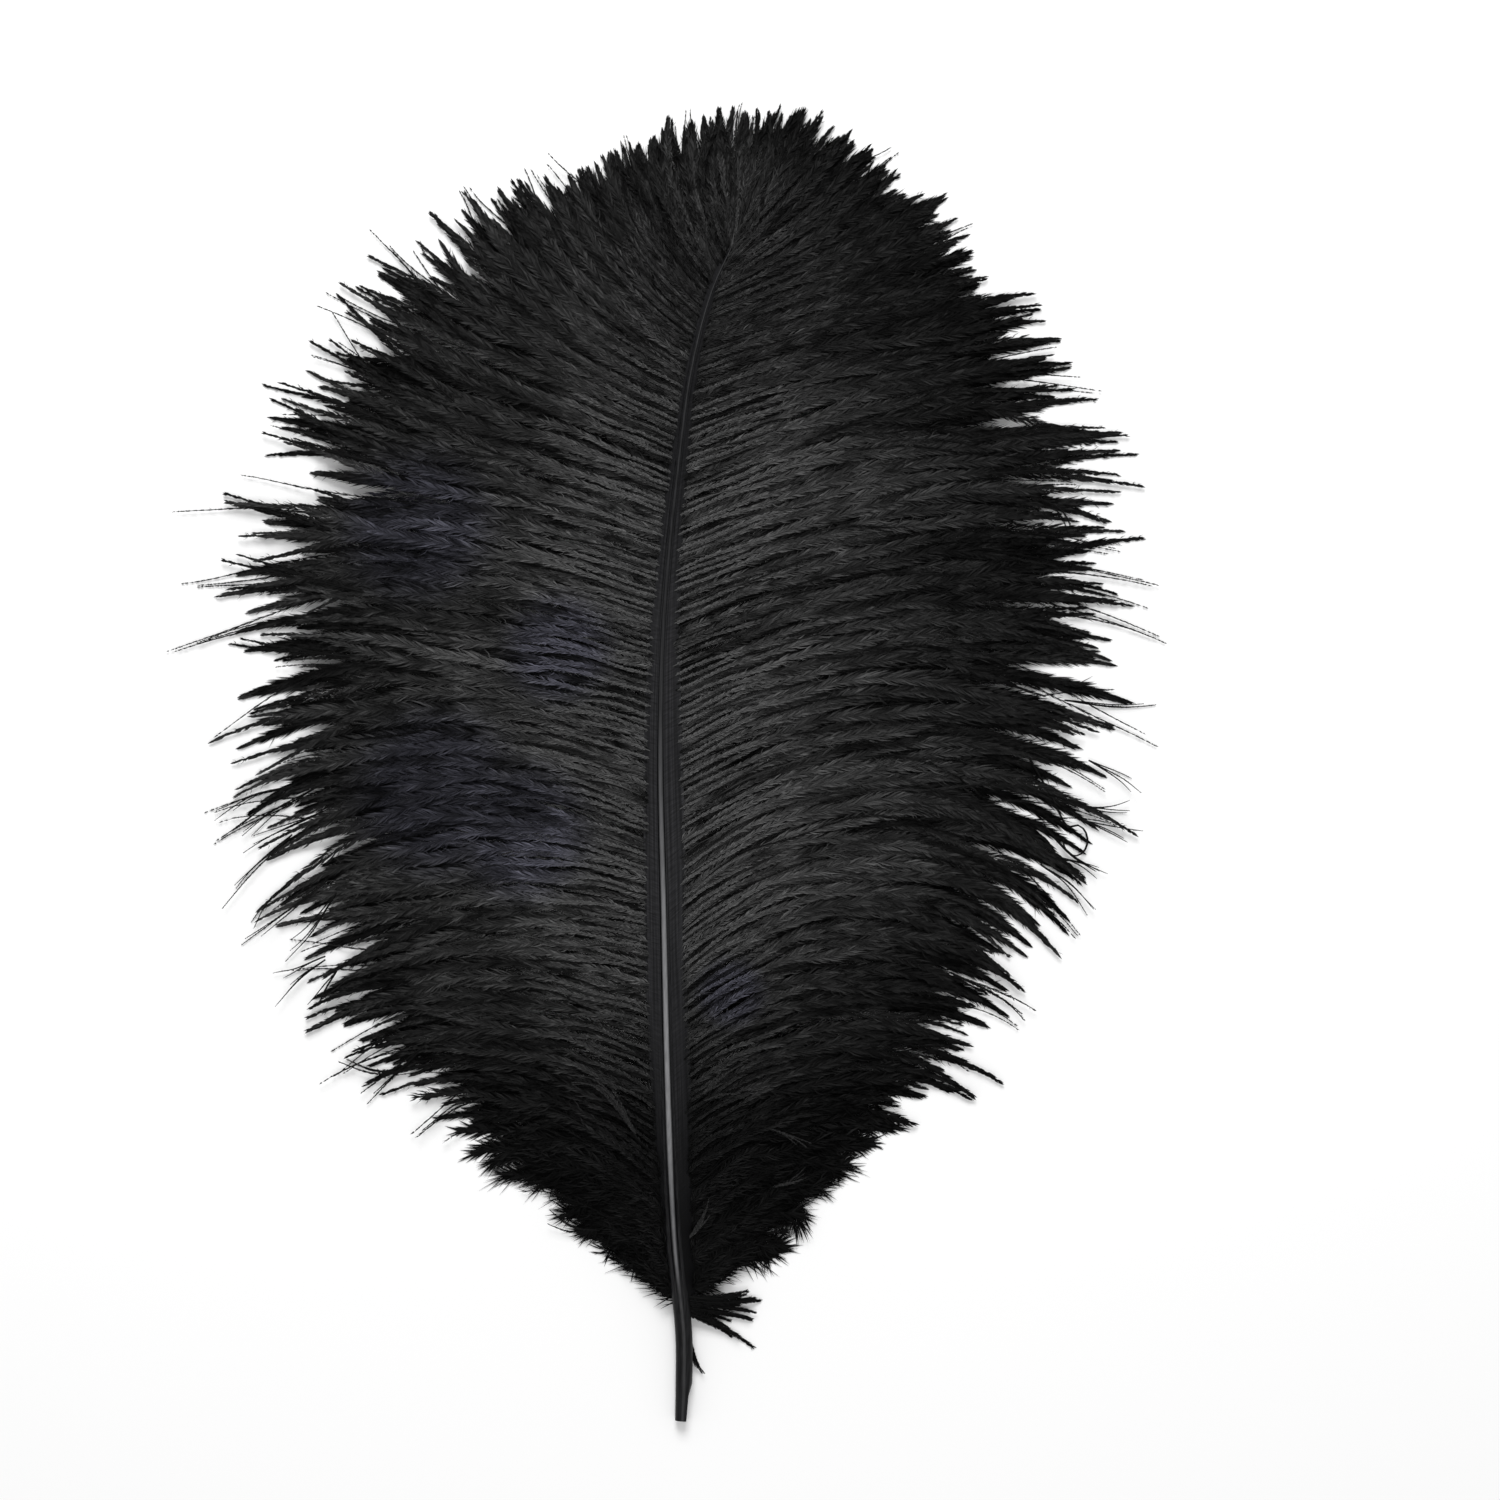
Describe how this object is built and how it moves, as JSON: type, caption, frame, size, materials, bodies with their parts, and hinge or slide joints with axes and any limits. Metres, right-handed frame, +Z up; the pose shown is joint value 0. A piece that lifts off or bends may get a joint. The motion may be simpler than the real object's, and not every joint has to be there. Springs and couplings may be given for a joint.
{
  "type": "ostrich feather",
  "caption": "Broad black ostrich plume with a curved shaft, drooping side locks and a bare quill, lying flat with its arched side up.",
  "frame": {"origin": "middle of the plume's box, on the surface that it lies on", "axes": "+Y along the feather towards its tip, +Z up, away from the surface that it lies on"},
  "size_m": [0.1971, 0.2767, 0.0177],
  "materials": {
    "barbs": "soft dyed keratin barbs, near black with a slight sheen along each barb",
    "shaft": "glossy dyed horn, with a lighter streak where the light catches its ridge"
  },
  "bodies": {
    "root": {"feather": "barbs"}
  },
  "joints": []
}
